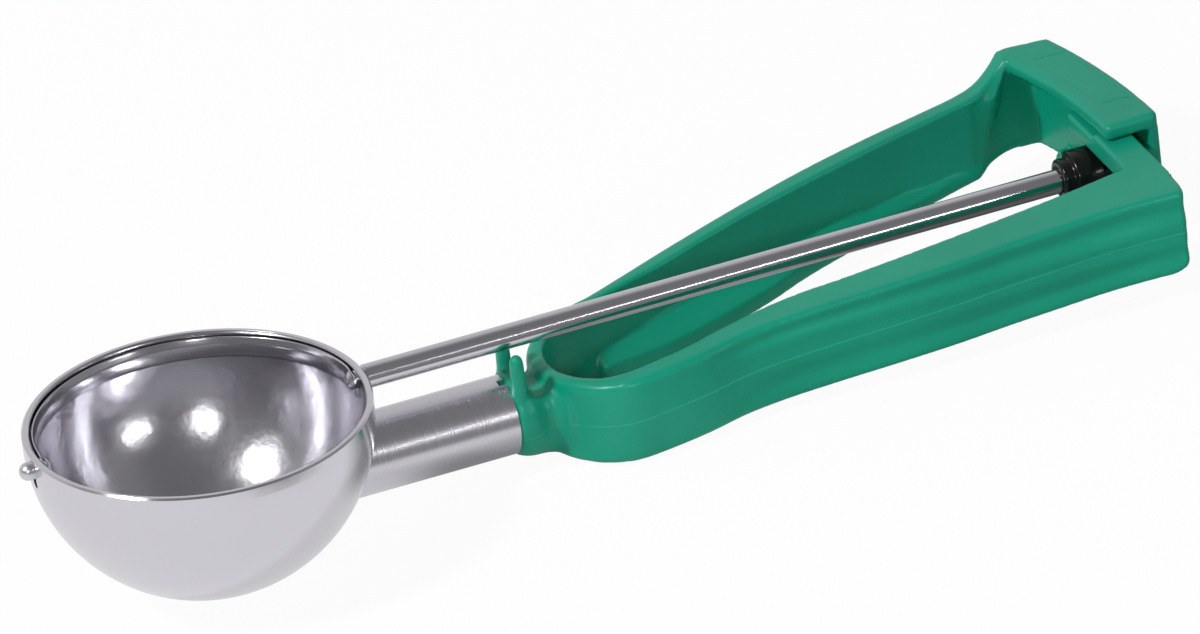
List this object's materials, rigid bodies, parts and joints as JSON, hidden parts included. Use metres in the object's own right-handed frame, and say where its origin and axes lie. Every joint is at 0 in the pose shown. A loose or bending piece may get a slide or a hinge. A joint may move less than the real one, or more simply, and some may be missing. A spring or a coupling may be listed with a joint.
{
  "type": "lever ice cream scoop",
  "caption": "Hemispherical steel scoop bowl with a sweeping scraper band, turned through a long rod and a rack and pinion by a sprung plastic squeeze handle.",
  "frame": {"origin": "centre of the bowl's sphere, on the drive rod's axis", "axes": "+X along the drive rod from the bowl to the handle's rear, +Y towards the lever arm, +Z out of the bowl's open side"},
  "size_m": [0.1931, 0.0601, 0.0408],
  "materials": {
    "polished_steel": "mirror polished stainless steel",
    "green_plastic": "semi-gloss moulded",
    "black_plastic": "semi-gloss moulded"
  },
  "bodies": {
    "frame": {"bowl": "polished_steel", "neck_tube": "polished_steel", "handle_frame": "green_plastic"},
    "lever": {"handle_lever": "green_plastic"},
    "scraper": {"scraper_blade": "polished_steel", "pivot_pin": "polished_steel", "drive_rod": "polished_steel", "rod_pinion": "black_plastic"}
  },
  "joints": [
    {"name": "lever", "type": "hinge", "parent": "frame", "child": "lever", "pos_m": [0.065, 0, -0.0064], "axis": [0, 0, -1], "range_deg": [0, 7.3], "stiffness_Nm_per_rad": 12},
    {"name": "scraper", "type": "hinge", "parent": "frame", "child": "scraper", "pos_m": [0, 0, 0], "axis": [-1, 0, 0], "range_deg": [0, 177.6]}
  ],
  "couplings": [
    {"joint": "scraper", "follows": "lever", "ratio": 24.333}
  ]
}
